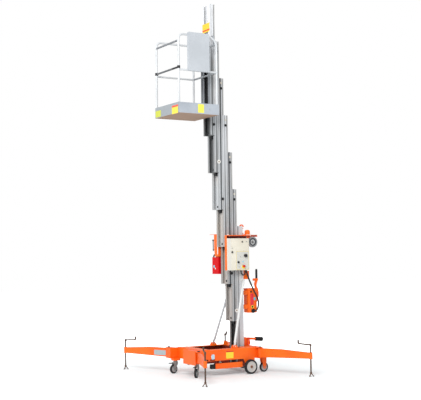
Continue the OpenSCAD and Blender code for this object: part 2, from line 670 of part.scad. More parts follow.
post_y = [cage_front + tube_d / 2 + 3, cage_rear - tube_d / 2 - 3];
post_x = cage_x - tube_d / 2 - 3;
bend = [70, 130];     // radius of the front and of the rear corner of a side hoop
module cage() {
    color([0.86, 0.86, 0.86]) {
        for (s = [0, 1]) mirror([s, 0, 0]) {
            for (k = [0, 1]) bar([post_x, post_y[k], floor_z + board], [post_x, post_y[k], top_z - bend[k]], tube_d);
            bar([post_x, post_y[0] + bend[0], top_z], [post_x, post_y[1] - bend[1], top_z], tube_d);
            bend_x(post_x, [post_y[0] + bend[0], top_z - bend[0]], bend[0], 90, 90, tube_d);
            bend_x(post_x, [post_y[1] - bend[1], top_z - bend[1]], bend[1], 0, 90, tube_d);
            bar([post_x, post_y[0], mid_z], [post_x, post_y[1], mid_z], tube_d - 4);
        }
        for (z = [mid_z, rear_z]) bar([-post_x, post_y[1], z], [post_x, post_y[1], z], tube_d - 4);
        bar([-post_x, post_y[0], rear_z], [post_x, post_y[0], rear_z], tube_d - 4);
        // loop beside the mast for the hand controls
        for (x = [120, 250]) bar([x, post_y[1], rear_z], [x, post_y[1], top_z + 40], 20);
        bar([120, post_y[1], top_z + 40], [250, post_y[1], top_z + 40], 20);
        for (x = [120, 250]) translate([x, post_y[1], top_z + 40]) sphere(d = 20);
    }
    // carrier channels between the cage and the front lips of the mast, with their clamps
    color(alu) for (s = [0, 1]) mirror([s, 0, 0]) {
        block([62, mast_w / 2], [cage_rear, mast_front], [floor_z, floor_z + 1000]);
        block([mast_w / 2 - 4, mast_w / 2], [cage_rear - 24, cage_rear + 1], [floor_z + toe_h + 8, floor_z + 1000]);
        for (z = [mid_z, rear_z]) block([64, 98], [post_y[1], cage_rear + 1], [z - 20, z + 20]);
    }
}
module gate_bar() {
    z = mid_z + (tube_d - 4) / 2 + 0.3;
    for (s = [-1, 1]) color(black) translate([s * post_x, post_y[0], z]) difference() {
        cylinder(h = 36, d = tube_d + 12);
        translate([0, 0, -1]) cylinder(h = 38, d = tube_d + 1);
    }
    color([0.5, 0.5, 0.5]) difference() {
        bar([-post_x, post_y[0], z + 18], [post_x, post_y[0], z + 18], tube_d - 4);
        for (s = [-1, 1]) translate([s * post_x, post_y[0], z - 1]) cylinder(h = 38, d = tube_d + 10);
    }
}
module cage_panel() {
    x = [post_x + tube_d / 2, post_x + tube_d / 2 + 38];
    y = [cage_rear - 494, cage_rear - 161];
    z = [top_z - 505, top_z + 30];
    color([0.6, 0.62, 0.64]) difference() {
        plate_x(x[0], x[1]) round_rect(y, z, 12);
        plate_x(x[0] - 1, x[1] - 3) round_rect([y[0] + 3, y[1] - 3], [z[0] + 3, z[1] - 3], 10);
    }
    // inner lid and hooks over the rail
    color([0.6, 0.62, 0.64]) block([x[0], x[0] + 2], [y[0] + 2, y[1] - 2], [z[0] + 2, z[1] - 2]);
}
// Hose from the control box down to the power unit, clipped between the two
hose_d = 22;
hose_path = [[150, 490, -625.6], [150, 490, -645], [150, 500, -672], [145, 522, -722], [138, 552, -785],
    [129, 590, -850], [119, 632, -918], [110, 676, -985], [106, 704, -1036], [105, 717, -1080],
    [105, 718, -1120], [106, 708, -1164], [108, 690, -1196], [110, 668, -1210], [107, 652, -1212],
    [96, 645, -1212], [79.6, 645, -1212]];
loop_path = [[150, 400, -625.6], [150, 400, -646], [151, 404, -668], [154, 416, -688], [158, 433, -696],
    [160, 450, -688], [160, 461, -668], [160, 464, -646], [160, 464, -625.6]];
function unit(v) = v / norm(v);
function ring(p, t, d, sides) = let (n = unit(cross(t, [1, -1, 0])), b = cross(t, n))
    [for (k = [0 : sides - 1]) p + d / 2 * (cos(360 * k / sides) * n + sin(360 * k / sides) * b)];
module tube_along(path, d, sides) {
    last = len(path) - 1;
    points = [for (i = [0 : last])
        each ring(path[i], unit(path[min(i + 1, last)] - path[max(i - 1, 0)]), d, sides)];
    walls = [for (i = [0 : last - 1], k = [0 : sides - 1])
        let (a = i * sides + k, b = i * sides + (k + 1) % sides)
        each [[a, b + sides, b], [a, a + sides, b + sides]]];
    polyhedron(points, concat([[for (k = [0 : sides - 1]) k]], walls,
        [[for (k = [sides - 1 : -1 : 0]) last * sides + k]]), convexity = 6);
}
module hoses() {
    color(black) translate([0, 0, mast_top]) {
        tube_along(hose_path, hose_d, 10);
        tube_along(loop_path, 17, 8);
    }
}

translate([0, -origin_y, 0]) {
    base_frame();
    tail_forks();
    at_caster(true) caster_fork();  // caster_fork_l
    at_caster(false) caster_fork();  // caster_fork_r
    at_caster(true) translate([0, -trail, caster_d / 2]) tyre_wheel(caster_d, 32, 88, 13);  // caster_wheel_l
    at_caster(false) translate([0, -trail, caster_d / 2]) tyre_wheel(caster_d, 32, 88, 13);  // caster_wheel_r
    translate([-hw - 49, 390, drive_d / 2]) tyre_wheel(drive_d, 44, 150, 21);  // main_wheel_l
    translate([hw + 49, 390, drive_d / 2]) tyre_wheel(drive_d, 44, 150, 21);  // main_wheel_r
    translate([-tail_at[0], tail_at[1], tail_d / 2]) tyre_wheel(tail_d, 34, 96, 17);  // tail_wheel_l
    translate([tail_at[0], tail_at[1], tail_d / 2]) tyre_wheel(tail_d, 34, 96, 17);  // tail_wheel_r
    color(orange) at_corner(corner_pivots[0], true) arm_shape();  // arm_front_l
    color(orange) at_corner(corner_pivots[0], false) arm_shape();  // arm_front_r
    color(orange) at_corner(corner_pivots[1], true) arm_shape();  // arm_rear_l
    color(orange) at_corner(corner_pivots[1], false) arm_shape();  // arm_rear_r
    at_corner(corner_pivots[0], true) jack_shape();  // jack_front_l
    at_corner(corner_pivots[0], false) jack_shape();  // jack_front_r
    at_corner(corner_pivots[1], true) jack_shape();  // jack_rear_l
    at_corner(corner_pivots[1], false) jack_shape();  // jack_rear_r
    for (i = [1 : sections]) mast_section(i);
    for (i = [2 : sections]) guides(i);
    braces();
    mast_yoke();
    control_box();
    control_knobs();
    charger_box();
    power_unit();
    for (s = [-1, 1]) translate([s * 102, load_at[0], load_at[1]]) load_wheel();  // loading_wheels
    tow_handle();
    beacon();
    platform_floor();
    cage();
    gate_bar();
    cage_panel();
    hoses();
}
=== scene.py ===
# %% [markdown]
# # A push-around mast lift
# The machine has an orange base of folded sheet, a mast of seven aluminium extrusions that slide on
# each other, and a small cage for one person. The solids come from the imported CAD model, so they
# already have their true size and place. This script gives them their finishes, adds the small
# fittings that are easier to model here than in CAD, and sets up the camera, light and floor.

# %% Load the frame
import math

import bmesh
import bpy
from mathutils import Matrix, Vector


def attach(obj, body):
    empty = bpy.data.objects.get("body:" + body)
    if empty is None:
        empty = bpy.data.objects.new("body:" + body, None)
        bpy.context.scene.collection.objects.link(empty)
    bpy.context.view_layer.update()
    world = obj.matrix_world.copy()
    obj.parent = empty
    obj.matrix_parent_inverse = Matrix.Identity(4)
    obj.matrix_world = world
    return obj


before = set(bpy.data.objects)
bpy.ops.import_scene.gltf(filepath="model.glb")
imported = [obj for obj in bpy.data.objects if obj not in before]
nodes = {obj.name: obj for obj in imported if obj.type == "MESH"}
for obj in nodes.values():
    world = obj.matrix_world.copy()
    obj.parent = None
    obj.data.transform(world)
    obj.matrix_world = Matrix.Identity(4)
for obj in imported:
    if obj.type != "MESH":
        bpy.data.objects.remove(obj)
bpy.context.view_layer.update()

# The CAD file measures from the middle of the mast base, and model.glb has everything moved this far in y.
SHIFT = -0.047


def at(x, y, z):
    """A point given in the CAD file's own coordinates, in metres."""
    return Vector((x, y + SHIFT, z))


def deselect():
    if bpy.context.object and bpy.context.object.mode != "OBJECT":
        bpy.ops.object.mode_set(mode="OBJECT")
    bpy.ops.object.select_all(action="DESELECT")


# %% [markdown]
# ## Camera
# The photograph was taken from about fourteen metres, a little above the height of a person, with
# the front of the machine to the left. A fit on corners of the cage, mast, wheels and feet gave the
# place and the turn of the camera. The lens follows from the focal length in pixels.

# %% Camera
FOCAL_PX, WIDTH_PX = 977.42, 421
azimuth, pitch, roll, distance = math.radians(59.377), 0.0534, -0.0118, 13.8136
forward = Vector((-math.sin(azimuth) * math.cos(pitch), math.cos(azimuth) * math.cos(pitch), math.sin(pitch)))
level = Vector((math.cos(azimuth), math.sin(azimuth), 0))
above = level.cross(forward)
right = level * math.cos(roll) + above * math.sin(roll)
upward = above * math.cos(roll) - level * math.sin(roll)

camera_data = bpy.data.cameras.new("camera")
camera_data.sensor_width = 36
camera_data.lens = FOCAL_PX / WIDTH_PX * 36
camera_data.clip_end = 200
camera = bpy.data.objects.new("camera", camera_data)
bpy.context.scene.collection.objects.link(camera)
turn = Matrix((right, upward, -forward)).transposed().to_4x4()
eye = at(math.sin(azimuth) * distance, -math.cos(azimuth) * distance, 1.6928)
camera.matrix_world = Matrix.Translation(eye) @ turn
bpy.context.scene.camera = camera
print("lens", round(camera_data.lens, 1), "mm")

# %% [markdown]
# ## Light and floor
# A product photograph on white is lit by large soft boxes, so there is one soft shadow under the
# machine and no hard one. A white world does most of the work. One wide lamp on the left and above
# gives form. The floor is nearly white and still takes the shadow.

# %% Light and floor
bpy.context.scene.view_settings.view_transform = "Standard"

world = bpy.data.worlds.new("studio")
bpy.context.scene.world = world
world.use_nodes = True
tree = world.node_tree
tree.nodes.clear()
out = tree.nodes.new("ShaderNodeOutputWorld")
path = tree.nodes.new("ShaderNodeLightPath")
soft = tree.nodes.new("ShaderNodeBackground")
soft.inputs["Color"].default_value = (0.97, 0.98, 1.0, 1)
soft.inputs["Strength"].default_value = 0.70
white = tree.nodes.new("ShaderNodeBackground")
white.inputs["Color"].default_value = (1, 1, 1, 1)
white.inputs["Strength"].default_value = 1.0
both = tree.nodes.new("ShaderNodeMixShader")
tree.links.new(path.outputs["Is Camera Ray"], both.inputs[0])
tree.links.new(soft.outputs[0], both.inputs[1])
tree.links.new(white.outputs[0], both.inputs[2])
tree.links.new(both.outputs[0], out.inputs[0])


def soft_box(name, place, target, size, power):
    """A square area lamp at a place, turned to a target."""
    lamp = bpy.data.lights.new(name, "AREA")
    lamp.size = size
    lamp.energy = power
    thing = bpy.data.objects.new(name, lamp)
    thing.location = place
    thing.rotation_euler = (Vector(target) - Vector(place)).to_track_quat("-Z", "Y").to_euler()
    bpy.context.scene.collection.objects.link(thing)


soft_box("key", (7.5, -6.5, 7.5), (0, 0, 2.0), 4.0, 760)
soft_box("fill", (-6.0, -7.5, 5.0), (0, 0, 2.2), 5.0, 240)

deselect()
bpy.ops.mesh.primitive_plane_add(size=60)
floor = bpy.context.object
floor.name = "floor"

# %% [markdown]
# ## Finishes
# A finish is a node material. Written out by hand, the maths of a mask takes many lines, so a small
# class wraps a node's output and adds a Math node whenever Python meets an operator. All finishes
# read Object coordinates. A part lies where the CAD says, so a coordinate is a place on the machine,
# and a mask can pick out a pin or a grip within a part.


# %% Shader maths
class Value:
    """A number on a node's output. Operators on it add Math nodes."""

    def __init__(self, finish, socket):
        self.finish, self.socket = finish, socket

    def _math(self, operation, other=None, swap=False):
        pair = [self] if other is None else ([other, self] if swap else [self, other])
        return self.finish.node("ShaderNodeMath", {"operation": operation}, dict(enumerate(pair)))

    def __add__(self, o): return self._math("ADD", o)
    def __radd__(self, o): return self._math("ADD", o)
    def __sub__(self, o): return self._math("SUBTRACT", o)
    def __rsub__(self, o): return self._math("SUBTRACT", o, True)
    def __mul__(self, o): return self._math("MULTIPLY", o)
    def __rmul__(self, o): return self._math("MULTIPLY", o)
    def __gt__(self, o): return self._math("GREATER_THAN", o)
    def __lt__(self, o): return self._math("LESS_THAN", o)
    def __abs__(self): return self._math("ABSOLUTE")

    def root(self): return self._math("SQRT")
    def sine(self): return self._math("SINE")
    def top(self, o): return self._math("MAXIMUM", o)

    def between(self, low, high):
        return (self > low) * (self < high)

    def ramp(self, low, high, to_low=0.0, to_high=1.0):
        """Runs smoothly from to_low to to_high as the value goes from low to high."""
        return self.finish.node("ShaderNodeMapRange", {"interpolation_type": "SMOOTHSTEP"},
                                {0: self, 1: low, 2: high, 3: to_low, 4: to_high})


class Finish:
    """One Principled material and the nodes that feed it."""

    def __init__(self, name):
        self.material = bpy.data.materials.new(name)
        self.material.use_nodes = True
        self.tree = self.material.node_tree
        self.shader = next(n for n in self.tree.nodes if n.type == "BSDF_PRINCIPLED")
        self.place = self.node("ShaderNodeTexCoord", {}, {}, "Object")
        split = self.node("ShaderNodeSeparateXYZ", {}, {0: self.place}).socket.node
        self.x, self.y, self.z = (Value(self, split.outputs[k]) for k in range(3))

    def node(self, kind, settings, inputs, output=0):
        made = self.tree.nodes.new(kind)
        for key, setting in settings.items():
            setattr(made, key, setting)
        for key, given in inputs.items():
            socket = made.inputs[key]
            if isinstance(given, Value):
                self.tree.links.new(given.socket, socket)
            elif hasattr(given, "__len__") and len(given) == 3 and socket.type == "RGBA":
                socket.default_value = (*given, 1)
            else:
                socket.default_value = given
        return Value(self, made.outputs[output])

    def noise(self, scale, detail=3.0, stretch=(1, 1, 1), rough=0.5):
        """Cloudy noise from 0 to 1, drawn out along an axis where stretch is below 1."""
        spot = self.node("ShaderNodeMapping", {}, {"Vector": self.place, "Scale": stretch})
        return self.node("ShaderNodeTexNoise", {}, {"Vector": spot, "Scale": scale, "Detail": detail,
                                                   "Roughness": rough})

    def mix(self, mask, a, b):
        made = self.tree.nodes.new("ShaderNodeMix")
        made.data_type = "RGBA"
        for socket, given in ((made.inputs[0], mask), (made.inputs[6], a), (made.inputs[7], b)):
            if isinstance(given, Value):
                self.tree.links.new(given.socket, socket)
            else:
                socket.default_value = given if isinstance(given, (int, float)) else (*given, 1)
        return Value(self, made.outputs[2])

    def set(self, name, given):
        socket = self.shader.inputs[name]
        if isinstance(given, Value):
            self.tree.links.new(given.socket, socket)
        elif hasattr(given, "__len__"):
            socket.default_value = (*given, 1)
        else:
            socket.default_value = given

    def bump(self, height, distance=0.001, strength=0.5):
        self.set("Normal", self.node("ShaderNodeBump", {}, {"Height": height, "Distance": distance,
                                                            "Strength": strength}))

    def far_from(self, point, axis):
        """Distance from a line through a point along X, Y or Z."""
        parts = [(v - p) for v, p, k in zip((self.x, self.y, self.z), point, "XYZ") if k != axis]
        return (parts[0] * parts[0] + parts[1] * parts[1]).root()


def srgb(r, g, b):
    """A screen colour from 0 to 255, as the linear numbers a shader wants."""
    return tuple((v / 255 / 12.92) if v <= 10.3 else ((v / 255 + 0.055) / 1.055) ** 2.4 for v in (r, g, b))


# %% [markdown]
# Every surface gets the same four steps: a base colour with a slow drift, a finer mottling, a few
# scuffs or specks that also change the gloss, and a fine bump. One function does this from a row of
# numbers, and a list of zones then paints over it where a part holds a second material.


# %% A worn surface with zones
BLACK = srgb(34, 34, 36)
DARK = srgb(58, 56, 56)
ZINC = srgb(168, 168, 166)
ORANGE = srgb(255, 114, 22)
ORANGE_DEEP = srgb(252, 98, 14)
RED = srgb(214, 30, 38)
YELLOW = srgb(250, 222, 60)
SKY = srgb(120, 205, 225)
WOOD = srgb(172, 142, 122)


def surface(name, light, deep, gloss, metal=0.0, scuff=None, scuff_share=0.25, grain=90, streak=(1, 1, 1),
            bump=0.0006, coat=0.0, zones=()):
    """A finish from its two colours, its roughness and its metallic share."""
    f = Finish(name)
    drift = f.noise(2.6, 3).ramp(0.3, 0.7)
    fine = f.noise(grain, 3, streak, 0.6)
    wear = f.noise(13, 8, (1, 1, 1), 0.72).ramp(0.60 + scuff_share * 0.1, 0.66 + scuff_share * 0.1)
    colour = f.mix(drift, light, deep)
    colour = f.mix(fine.ramp(0.35, 0.75, 0.0, 0.22), colour, tuple(c * 0.72 for c in deep))
    if scuff:
        colour = f.mix(wear * 0.55, colour, scuff)
    rough = fine * 0.16 + (gloss - 0.08) + wear * 0.14
    shine = metal
    for mask_of, paint, paint_gloss, paint_metal in zones:
        mask = mask_of(f)
        colour = f.mix(mask, colour, paint)
        rough = mask * (paint_gloss - rough) + rough
        shine = mask * (paint_metal - shine) + shine
    f.set("Base Color", colour)
    f.set("Roughness", rough)
    f.set("Metallic", shine)
    if coat:
        f.shader.inputs["Coat Weight"].default_value = coat
        f.shader.inputs["Coat Roughness"].default_value = 0.25
    f.shader.inputs["Specular IOR Level"].default_value = 0.3
    f.bump(fine, bump)
    return f


def dress(finish, *names):
    for name in names:
        thing = nodes[name]
        thing.data.materials.clear()
        thing.data.materials.append(finish.material)


# %% [markdown]
# ## Orange paint
# The base, arms and brackets are steel with a glossy orange powder coat. Powder coat drifts a little
# in tone and scuffs at the places that people touch. The pins, washers and rods that are part of the
# same solids are zones: a pin is everything near its axis and above its plate.

# %% Orange parts
PIVOT = {"front": (0.425, -0.465), "rear": (0.388, 0.545)}     # of an outrigger arm on the right side
SPREAD = {"front": -24, "rear": 25.5}                          # degrees from straight out to the side
ARM = 0.800                                                    # from the pivot to the jack
CORNERS = [(s * x, y) for x, y in PIVOT.values() for s in (-1, 1)]
LOAD_AXLE = at(0, 0.630, 1.833)


def pivot_caps(f):
    mask = None
    for x, y in CORNERS:
        one = (f.far_from(at(x, y, 0), "Z") < 0.0183) * (f.z > 0.3582)
        mask = one if mask is None else mask.top(one)
    return mask


def pan_painted_shade(f):
    """Painted shade: the inner faces of the pan below the deck, darkened to a deep red."""
    return (abs(f.x) < 0.3355) * f.y.between(-0.380 + SHIFT, 0.590 + SHIFT) * (f.z < 0.352)


def stub_ends(f):
    return (f.far_from(at(0, 0.390, 0.100), "X") < 0.0205) * (abs(f.x) > 0.345)


def stop_rod(f):
    """The bent rod of the service stop, above its bracket."""
    return abs(f.x + 0.187).ramp(0.0055, 0.0056, 1, 0) * (f.z > 0.4155)


# The base paint also carries painted shade, in a dark red, on the pan's inner faces.
dress(surface("base_paint", ORANGE, ORANGE_DEEP, 0.40, scuff=srgb(150, 78, 44), grain=70, coat=0.08, zones=[
    (pan_painted_shade, srgb(120, 34, 16), 0.7, 0.0), (pivot_caps, BLACK, 0.5, 0.0),
    (stub_ends, srgb(120, 96, 80), 0.45, 0.6), (stop_rod, DARK, 0.5, 0.3)]), "base_frame")
dress(surface("arm_paint", ORANGE, ORANGE_DEEP, 0.38, scuff=srgb(150, 78, 44), grain=60, coat=0.08),
      "arm_front_l", "arm_front_r", "arm_rear_l", "arm_rear_r")
dress(surface("fork_paint", ORANGE, ORANGE_DEEP, 0.42, scuff=srgb(120, 70, 45), grain=70, coat=0.08, zones=[
    (lambda f: f.far_from(at(0, 0.678, 0.0675), "X") < 0.0085, ZINC, 0.4, 0.7)]), "tail_forks")
dress(surface("yoke_paint", ORANGE, ORANGE_DEEP, 0.42, scuff=srgb(140, 70, 40), grain=70, coat=0.08, zones=[
    (lambda f: (f.x < -0.2365) * (f.y > 0.193 + SHIFT - 0.02) * (f.z < 1.93), BLACK, 0.45, 0.0),
    # Painted shade: the band under the hood, where the back plate lies in shadow, is painted dark maroon.
    (lambda f: (f.x > 0.1172) * f.z.between(1.884, 1.9215) * (f.y > 0.1635 + SHIFT),
     srgb(112, 22, 14), 0.6, 0.0),
    (lambda f: (f.x > 0.117) * f.y.between(0.512 + SHIFT, 0.72 + SHIFT) * (f.z > 1.90),
     srgb(228, 214, 204), 0.5, 0.0),
    (lambda f: (abs(f.x) > 0.0765) * (f.far_from(LOAD_AXLE, "X") < 0.0085), ZINC, 0.35, 0.8)]),
    "mast_yoke")
dress(surface("tow_paint", ORANGE, ORANGE_DEEP, 0.40, scuff=srgb(140, 70, 40), grain=70, coat=0.08, zones=[
    (lambda f: (f.y > 0.7195 + SHIFT), BLACK, 0.62, 0.0),
    (lambda f: (f.x > 0.0225) * (f.y < 0.65 + SHIFT), RED, 0.35, 0.0)]), "tow_handle")

# %% [markdown]
# ## Aluminium mast
# The sections are mill-finish extrusions. The die leaves fine lines along the length, so the noise is drawn
# out along Z, and handling has dulled the metal unevenly. Each section's faces also carry painted light,
# shade and reflection, in greys that change with height and from face to face: the front faces darkest where
# they face the platform, the top of the last section brightest, and the recesses between the side ribs
# darker. A fully metallic surface would only mirror the white studio, so a part of it is left as a plain grey
# oxide.

# %% Mast, guides and discs
MAST_W, PITCH, STEP, MAST_FOOT, MAST_LEN = 0.203, 0.066, 0.526, 0.190, 1.870


def front_of(i):
    """Front face of section i along y, and the height of its foot."""
    return -0.042 + (7 - i) * PITCH + SHIFT, MAST_FOOT + (i - 1) * STEP


# Painted light, shade and reflection for each section, as greys that change with height. A row gives the
# height range over which a section turns from its lower greys to its upper ones, then for both the grey of
# the front lips, the channel floor, the outer side ribs and the recess between them.
PAINTED_LIGHT_TONE = {
    1: ((0.2, 0.6), (120, 60, 205, 150), (150, 60, 215, 165)),
    2: ((0.8, 1.6), (168, 196, 190, 104), (172, 180, 200, 130)),
    3: ((1.4, 2.6), (166, 196, 180, 84), (176, 190, 196, 96)),
    4: ((1.9, 3.4), (172, 200, 205, 118), (176, 180, 232, 190)),
    5: ((2.6, 3.6), (168, 200, 214, 108), (140, 140, 214, 92)),
    6: ((3.2, 4.0), (150, 92, 200, 128), (110, 92, 232, 206)),
    7: ((4.3, 4.9), (92, 62, 196, 120), (236, 232, 240, 226))}


def mast_finish(i):
    """Extruded aluminium, with painted light and shade from its own row of the table above."""
    y = front_of(i)[0]
    (z0, z1), low, high = PAINTED_LIGHT_TONE[i]
    f = surface(f"mill_aluminium_{i}", srgb(214, 213, 211), srgb(194, 193, 191), 0.46, metal=0.25, grain=160,
                streak=(1, 1, 0.012), bump=0.0004)
    rise = f.z.ramp(z0, z1)
    fine = f.noise(120, 4, (1, 1, 0.02)).ramp(0.3, 0.7, -0.03, 0.03)
    warm = f.noise(7, 5, (1, 1, 0.3), 0.7).ramp(0.45, 0.7)

    # Painted light and shade: each of these greys blends the section's lower grey into its upper grey with
    # height, with a warm noisy tint that is stronger on the lips and channel of sections one to four.
    def tone(k):
        cold = f.mix(rise, srgb(low[k], low[k] + 2, low[k] + 4), srgb(high[k], high[k] + 1, high[k] + 3))
        return f.mix(warm * 0.35 + (0.45 if i < 5 and k < 2 else 0.0), cold,
                     srgb(low[k] * 0.97, low[k] * 0.90, low[k] * 0.83))

    colour = Value(f, f.shader.inputs["Base Color"].links[0].from_socket)
    lips = f.y < y + 0.0005
    channel = f.y.between(y + 0.0005, y + 0.034) * (abs(f.x) < 0.0953)
    ribs = abs(f.x) > 0.0998
    recess = abs(f.x).between(0.0955, 0.0998)
    for mask, paint in ((lips, tone(0)), (channel, tone(1)), (recess, tone(3)), (ribs, tone(2))):
        colour = f.mix(mask, colour, paint)
    f.set("Base Color", f.mix(fine + 0.03, colour, srgb(90, 90, 92)))
    return f


for i in range(1, 8):
    dress(mast_finish(i), f"mast_{i}")


def disc_zones(i):
    y, foot = front_of(i)
    disc = Vector((0, y + 0.060, foot + 0.150))
    return [(lambda f: abs(f.x) > 0.1012, srgb(236, 234, 228), 0.45, 0.0),
            (lambda f: (abs(f.x) > 0.1012) * (f.far_from(disc, "X") < 0.0105), srgb(120, 84, 62), 0.5, 0.3)]


for i in range(2, 8):
    dress(surface(f"nylon_{i}", BLACK, srgb(26, 26, 28), 0.55, grain=120, scuff=srgb(70, 70, 72),
                  zones=disc_zones(i) if i % 2 == 0 else ()), f"guides_{i}")

# %% [markdown]
# ## Steel fittings
# The jack screws are bare threaded rod, browned by rust. The thread is far too fine to model along the
# whole screw, so it is a bump that follows the height, only near the axis. Casters are zinc plated.

# %% Jacks, casters, braces
def on_arm(end, sign, reach, z):
    """A point at a distance from the pivot along a swung-out arm, on the left (-1) or right (1)."""
    turn = math.radians(SPREAD[end])
    x, y = PIVOT[end]
    return at(sign * (x + reach * math.cos(turn)), y + reach * math.sin(turn), z)


def jack_finish(end, side):
    sign = -1 if side == "l" else 1
    f = surface(f"rusted_screw_{end}_{side}", srgb(112, 86, 70), srgb(82, 62, 50), 0.55, metal=0.1,
                scuff=srgb(150, 122, 100), grain=55)
    on_screw = f.far_from(on_arm(end, sign, ARM, 0), "Z") < 0.0102
    thread = (f.z * (2 * math.pi / 0.005)).sine() * on_screw
    f.bump(thread + f.noise(160, 2) * 0.4, 0.0016, 0.9)
    return f


for end in PIVOT:
    for side in "lr":
        dress(jack_finish(end, side), f"jack_{end}_{side}")

SWIVEL = (0.305, -0.424)
for side, sign in (("l", -1), ("r", 1)):
    hub = at(sign * SWIVEL[0], SWIVEL[1], 0)
    dress(surface(f"zinc_fork_{side}", srgb(176, 176, 174), srgb(146, 145, 142), 0.38, metal=0.6,
                  scuff=srgb(110, 100, 90), grain=110, zones=[
        (lambda f, hub=hub: (f.far_from(hub, "Z") > 0.059) * (f.z > 0.1405), BLACK, 0.6, 0.0)]),
        f"caster_fork_{side}")

dress(surface("white_paint", srgb(232, 232, 230), srgb(212, 212, 210), 0.36, scuff=srgb(168, 160, 150),
              grain=80, coat=0.08, zones=[
    (lambda f: f.x < 0, srgb(196, 198, 200), 0.40, 0.25)]), "braces")

# %% [markdown]
# ## Wheels
# All wheels are solid rubber on a pale disc. One finish serves each wheel: inside a radius measured
# from the axle it is painted metal, outside it is rubber. The casters stand turned, so their distance
# is measured from a turned axle: the part of the offset along the axle is taken off.


# %% Wheel finishes
def wheel_finish(name, centre, yaw, rim, rim_paint, hub_radius, hub_paint):
    f = surface(name, srgb(48, 48, 50), srgb(36, 36, 38), 0.72, scuff=srgb(92, 88, 84), grain=150,
                bump=0.0008)
    axle = Vector((math.cos(yaw), math.sin(yaw)))
    dx, dy, dz = f.x - centre.x, f.y - centre.y, f.z - centre.z
    across = dx * -axle.y + dy * axle.x
    radius = (across * across + dz * dz).root()
    on_rim, on_hub = radius < rim, radius < hub_radius
    dirt = f.noise(30, 4)
    colour = f.shader.inputs["Base Color"].links[0].from_socket
    colour = f.mix(on_rim, Value(f, colour), f.mix(dirt, rim_paint, tuple(c * 0.72 for c in rim_paint)))
    f.set("Base Color", f.mix(on_hub, colour, hub_paint))
    rough = Value(f, f.shader.inputs["Roughness"].links[0].from_socket)
    f.set("Roughness", on_rim * (0.42 - rough) + rough)
    ring = (radius * 420).sine() * (1 - on_rim)
    f.bump(ring * 0.5 + dirt, 0.0010, 0.5)
    return f


RIM_WHITE = srgb(206, 204, 200)
trail = 0.034
for side, sign, yaw in (("l", -1, math.radians(12)), ("r", 1, math.radians(42))):
    spot = at(sign * SWIVEL[0] + trail * math.sin(yaw), SWIVEL[1] - trail * math.cos(yaw), 0.0625)
    dress(wheel_finish(f"caster_tyre_{side}", spot, yaw, 0.043, srgb(176, 178, 178), 0.012,
                       srgb(110, 104, 98)), f"caster_wheel_{side}")
    dress(wheel_finish(f"drive_tyre_{side}", at(sign * 0.389, 0.390, 0.100), 0, 0.0745, RIM_WHITE, 0.0200,
                       srgb(196, 110, 70)), f"main_wheel_{side}")
    dress(wheel_finish(f"tail_tyre_{side}", at(sign * 0.277, 0.678, 0.0675), 0, 0.0475,
                       srgb(188, 188, 186), 0.014, srgb(120, 110, 100)), f"tail_wheel_{side}")

f = surface("grey_roller", srgb(176, 178, 178), srgb(150, 152, 153), 0.45, grain=90, metal=0.2)
from_axle = f.far_from(LOAD_AXLE, "X")
colour = Value(f, f.shader.inputs["Base Color"].links[0].from_socket)
colour = f.mix(from_axle.between(0.034, 0.058), colour, srgb(84, 86, 90))
colour = f.mix(from_axle.between(0.024, 0.034), colour, srgb(226, 226, 224))
f.set("Base Color", f.mix(from_axle < 0.011, colour, srgb(112, 84, 70)))
f.bump((from_axle * 520).sine(), 0.0016, 0.6)
dress(f, "loading_wheels")

# %% [markdown]
# ## Boxes and controls
# The control box is cream powder coat, with a paler panel for the switches. The charger is a red
# plastic case, and the power unit has a moulded orange cover with a red side panel. Knobs are small
# and of many colours, so each row of the CAD table becomes one zone.

# %% Control box, knobs, charger and power unit
TOP = MAST_FOOT + MAST_LEN       # height of the top of the foot section
BOX_Z = TOP - 0.625


def in_face(y0, y1, z0, z1, x):
    return lambda f: f.y.between(y0 + SHIFT, y1 + SHIFT) * f.z.between(z0, z1) * (f.x > x)


dress(surface("cream_coat", srgb(238, 232, 216), srgb(226, 218, 200), 0.38, scuff=srgb(190, 178, 160),
              grain=100, coat=0.08, zones=[
    (in_face(0.290, 0.503, BOX_Z + 0.008, BOX_Z + 0.267, 0.2015), srgb(226, 208, 150), 0.4, 0.0),
    (in_face(0.297, 0.496, BOX_Z + 0.015, BOX_Z + 0.260, 0.2015), srgb(212, 210, 202), 0.4, 0.0),
    (lambda f: (f.y < 0.211 + SHIFT) * (f.x > 0.176), srgb(214, 210, 200), 0.4, 0.0)]), "control_box")

KNOBS = [(0.442, 0.205, 0.024, BLACK), (0.323, 0.113, 0.015, BLACK), (0.399, 0.120, 0.009, SKY),
         (0.407, 0.047, 0.0255, YELLOW), (0.225, 0.255, 0.014, BLACK), (0.225, 0.310, 0.007, ZINC),
         (0.448, 0.047, 0.007, ZINC), (0.335, 0.047, 0.007, ZINC), (0.360, 0.190, 0.007, ZINC),
         (0.394, 0.400, 0.011, DARK), (0.466, 0.404, 0.008, ZINC)]
knob_zones = [(lambda f, k=k: f.far_from(at(0, k[0], BOX_Z + k[1]), "X") < k[2], k[3], 0.35, 0.0)
              for k in KNOBS]
knob_zones.append((lambda f: (f.far_from(at(0, 0.407, BOX_Z + 0.057), "X") < 0.0172) * (f.x > 0.2135),
                   RED, 0.3, 0.0))
dress(surface("knob_plastic", BLACK, DARK, 0.4, grain=140, zones=knob_zones), "control_knobs")

red_case = surface("red_case", srgb(216, 8, 18), srgb(196, 4, 12), 0.46, scuff=srgb(140, 30, 30), grain=90,
                   coat=0.08, zones=[
    (lambda f: f.x > -0.1218, ORANGE, 0.4, 0.0), (lambda f: f.z > BOX_Z + 0.1853, DARK, 0.5, 0.0)])
red_case.shader.inputs["Specular IOR Level"].default_value = 0.1
dress(red_case, "charger_box")

